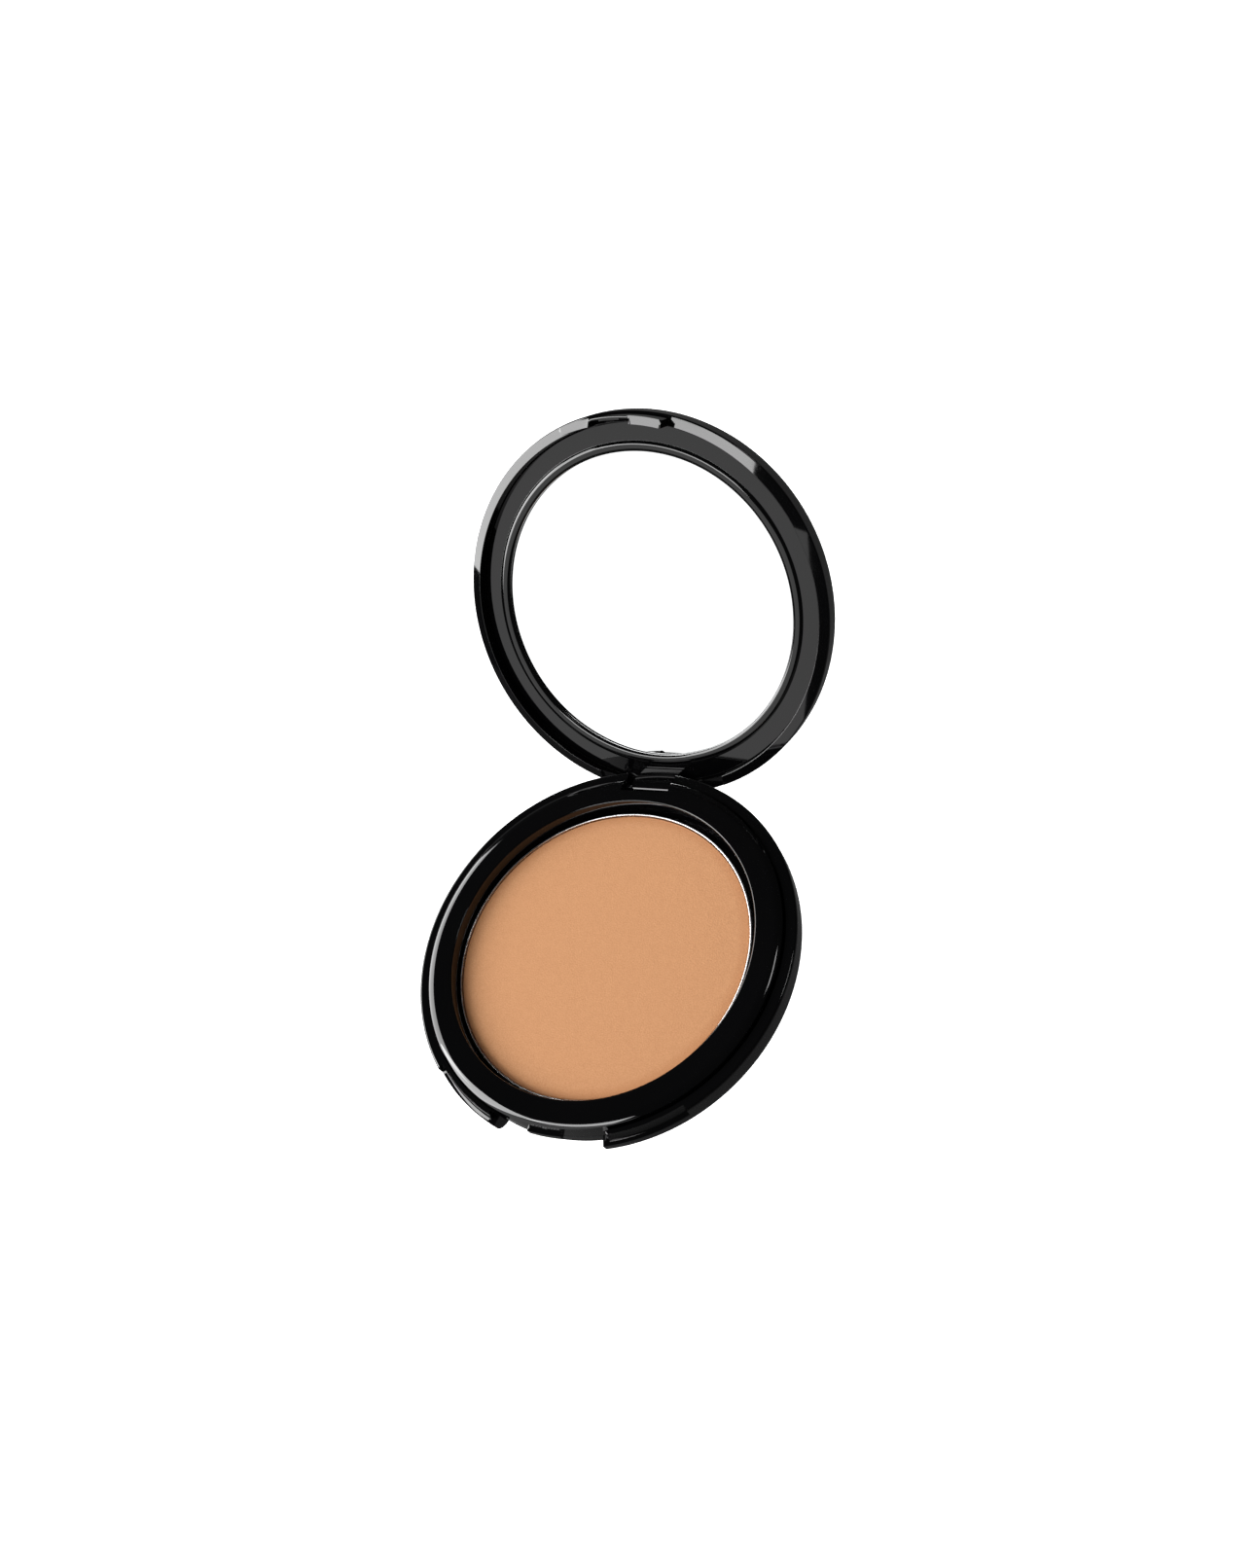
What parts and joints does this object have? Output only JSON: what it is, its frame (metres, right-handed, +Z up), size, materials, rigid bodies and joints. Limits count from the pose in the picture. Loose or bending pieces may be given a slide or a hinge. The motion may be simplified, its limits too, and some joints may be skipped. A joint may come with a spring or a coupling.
{
  "type": "powder compact",
  "caption": "Round hinged compact case, shown open, with a pan of pressed powder in the base and a lipped round mirror in the lid.",
  "frame": {"origin": "centre of the base's flat underside", "axes": "+Z up through the powder, +Y to the hinge, -Y to the latch, +X along the hinge pin"},
  "size_m": [0.077, 0.1249, 0.0653],
  "materials": {
    "case_plastic": "polished black moulding",
    "pin_steel": "drawn wire",
    "pan_aluminium": "bare pressed sheet",
    "pressed_powder": "matt pressed powder, fine grain",
    "mirror_glass": "silvered glass",
    "adhesive": "dried adhesive"
  },
  "bodies": {
    "base": {"base_shell": "case_plastic", "inner_tray": "case_plastic", "hinge_pin": "pin_steel", "powder_pan": "pan_aluminium", "powder_cake": "pressed_powder", "pan_adhesive": "adhesive"},
    "lid": {"lid_shell": "case_plastic", "mirror_frame": "case_plastic", "mirror": "mirror_glass", "mirror_adhesive": "adhesive"}
  },
  "joints": [
    {"name": "lid_hinge", "type": "hinge", "parent": "base", "child": "lid", "pos_m": [0, 0.0361, 0.0025], "axis": [1, 0, 0], "range_deg": [0, 127.5]}
  ]
}
